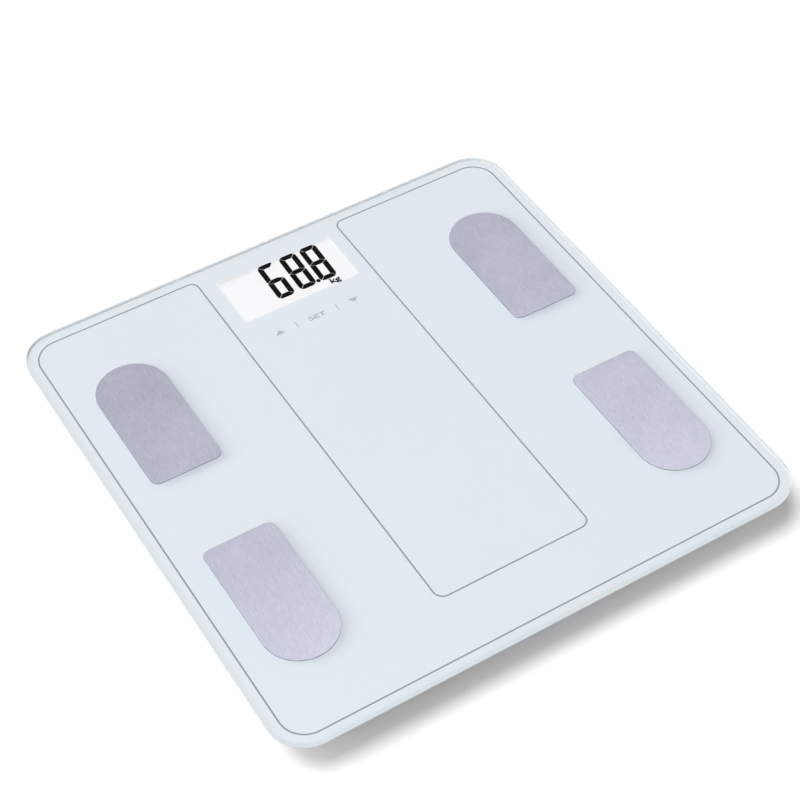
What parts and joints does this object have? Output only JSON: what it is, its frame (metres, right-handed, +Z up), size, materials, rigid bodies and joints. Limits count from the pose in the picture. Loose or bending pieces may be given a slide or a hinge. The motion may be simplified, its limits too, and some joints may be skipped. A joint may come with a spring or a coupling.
{
  "type": "bathroom scale",
  "caption": "Flat square glass bathroom scale with a display window, steel foot electrodes, sprung load-cell feet and an underside battery door.",
  "frame": {"origin": "on the floor, under the middle of the square platform", "axes": "+Z up, +Y towards the display end, +X to the right of someone who stands on the scale facing the display"},
  "size_m": [0.3, 0.3, 0.0258],
  "materials": {
    "tempered_glass": "polished clear safety glass with ground edges",
    "back_print": "pale silver-blue print behind the glass with fine grey rules",
    "foam_tape": "double-sided foam tape",
    "tray_plastic": "fine-grained pale grey moulding",
    "clear_adhesive": "thin clear acrylic adhesive",
    "terminal_brass": "plain stamped brass",
    "hardware_steel": "zinc-plated steel",
    "lead_sheath": "dark insulation",
    "battery_can": "plain wrapped steel can, no lettering",
    "contact_nickel": "nickel-plated spring strip",
    "display_glass": "white-backed display glass with dark figures",
    "light_guide": "milky light guide",
    "frame_plastic": "white moulding",
    "elastomer_strip": "striped contact elastomer",
    "board_laminate": "green solder mask",
    "chip_epoxy": "black moulded epoxy",
    "conductive_foam": "conductive foam block",
    "electrode_steel": "straight-brushed stainless steel",
    "foot_plastic": "grey moulding",
    "pad_rubber": "soft non-slip rubber",
    "cell_steel": "punched nickel-plated spring steel",
    "gauge_sealant": "white silicone over the gauge"
  },
  "bodies": {
    "scale": {"glass_platform": "tempered_glass", "printed_film": "back_print", "bonding_tape": "foam_tape", "base_tray": "tray_plastic", "electrode_tapes": "clear_adhesive", "electrode_terminals": "terminal_brass", "electrode_nuts": "hardware_steel", "electrode_leads": "lead_sheath", "battery_cells": "battery_can", "battery_plates": "contact_nickel", "battery_springs": "contact_nickel", "lcd_panel": "display_glass", "lcd_backlight": "light_guide", "lcd_holder": "frame_plastic", "lcd_connector_strip": "elastomer_strip", "main_board": "board_laminate", "controller_chip": "chip_epoxy", "weigh_chip": "chip_epoxy", "board_screws": "hardware_steel", "touch_pads": "conductive_foam", "unit_switch": "chip_epoxy", "electrode_back_left": "electrode_steel", "load_cell_lead_back_left": "lead_sheath", "electrode_back_right": "electrode_steel", "load_cell_lead_back_right": "lead_sheath", "electrode_front_left": "electrode_steel", "load_cell_lead_front_left": "lead_sheath", "electrode_front_right": "electrode_steel", "load_cell_lead_front_right": "lead_sheath"},
    "foot_back_left": {"foot_cup_back_left": "foot_plastic", "foot_pad_back_left": "pad_rubber", "load_cell_back_left": "cell_steel", "strain_gauge_back_left": "gauge_sealant", "load_button_back_left": "pad_rubber"},
    "foot_back_right": {"foot_cup_back_right": "foot_plastic", "foot_pad_back_right": "pad_rubber", "load_cell_back_right": "cell_steel", "strain_gauge_back_right": "gauge_sealant", "load_button_back_right": "pad_rubber"},
    "foot_front_left": {"foot_cup_front_left": "foot_plastic", "foot_pad_front_left": "pad_rubber", "load_cell_front_left": "cell_steel", "strain_gauge_front_left": "gauge_sealant", "load_button_front_left": "pad_rubber"},
    "foot_front_right": {"foot_cup_front_right": "foot_plastic", "foot_pad_front_right": "pad_rubber", "load_cell_front_right": "cell_steel", "strain_gauge_front_right": "gauge_sealant", "load_button_front_right": "pad_rubber"},
    "battery_door": {"battery_door": "tray_plastic", "door_latch": "tray_plastic"},
    "unit_button": {"unit_button": "foot_plastic", "switch_plunger": "frame_plastic"}
  },
  "joints": [
    {"name": "foot_back_left_play", "type": "slide", "parent": "scale", "child": "foot_back_left", "axis": [0, 0, 1], "range_m": [-0.0008, 0]},
    {"name": "foot_back_right_play", "type": "slide", "parent": "scale", "child": "foot_back_right", "axis": [0, 0, 1], "range_m": [-0.0008, 0]},
    {"name": "foot_front_left_play", "type": "slide", "parent": "scale", "child": "foot_front_left", "axis": [0, 0, 1], "range_m": [-0.0008, 0]},
    {"name": "foot_front_right_play", "type": "slide", "parent": "scale", "child": "foot_front_right", "axis": [0, 0, 1], "range_m": [-0.0008, 0]},
    {"name": "battery_door_hinge", "type": "hinge", "parent": "scale", "child": "battery_door", "pos_m": [0, 0.00875, 0.0048], "axis": [-1, 0, 0], "range_deg": [0, 60], "deforming": ["door_latch"]},
    {"name": "unit_button_press", "type": "slide", "parent": "scale", "child": "unit_button", "axis": [0, 0, 1], "range_m": [0, 0.0004], "stiffness_N_per_m": 5000}
  ]
}
